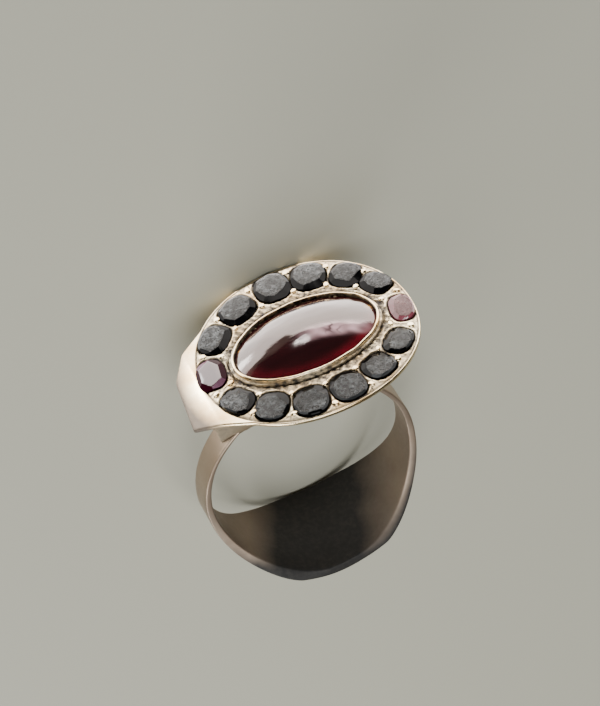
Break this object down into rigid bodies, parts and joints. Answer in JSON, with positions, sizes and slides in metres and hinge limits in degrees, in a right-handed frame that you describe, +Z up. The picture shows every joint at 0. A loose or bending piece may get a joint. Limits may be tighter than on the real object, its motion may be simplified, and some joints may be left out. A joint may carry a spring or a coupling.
{
  "type": "cabochon ring",
  "caption": "Finger ring lying on its side: an oval head with a long oval cabochon in a plain collar, a border of cut garnets and grains, and a band widening to the back.",
  "frame": {"origin": "centre of the bounding box's bottom, on the surface that the ring lies on", "axes": "+Z up from the surface; the face with the stones looks along -Y; the finger hole's axis stands about 9 degrees off Z"},
  "size_m": [0.0198, 0.0236, 0.0156],
  "materials": {
    "gold": "worn pale rose gold, polished, with dark dirt in the recesses",
    "cabochon_garnet": "polished deep wine-red garnet dome",
    "cut_garnet": "nearly black garnets with worn, pitted grey tables and glossy side facets"
  },
  "bodies": {
    "root": {"ring_body": "gold", "cabochon": "cabochon_garnet", "garnet_1": "cut_garnet", "garnet_2": "cut_garnet", "garnet_3": "cut_garnet", "garnet_4": "cut_garnet", "garnet_5": "cut_garnet", "garnet_6": "cut_garnet", "garnet_7": "cut_garnet", "garnet_8": "cut_garnet", "garnet_9": "cut_garnet", "garnet_10": "cut_garnet", "garnet_11": "cut_garnet", "garnet_12": "cut_garnet", "garnet_13": "cut_garnet", "garnet_14": "cut_garnet"}
  },
  "joints": []
}
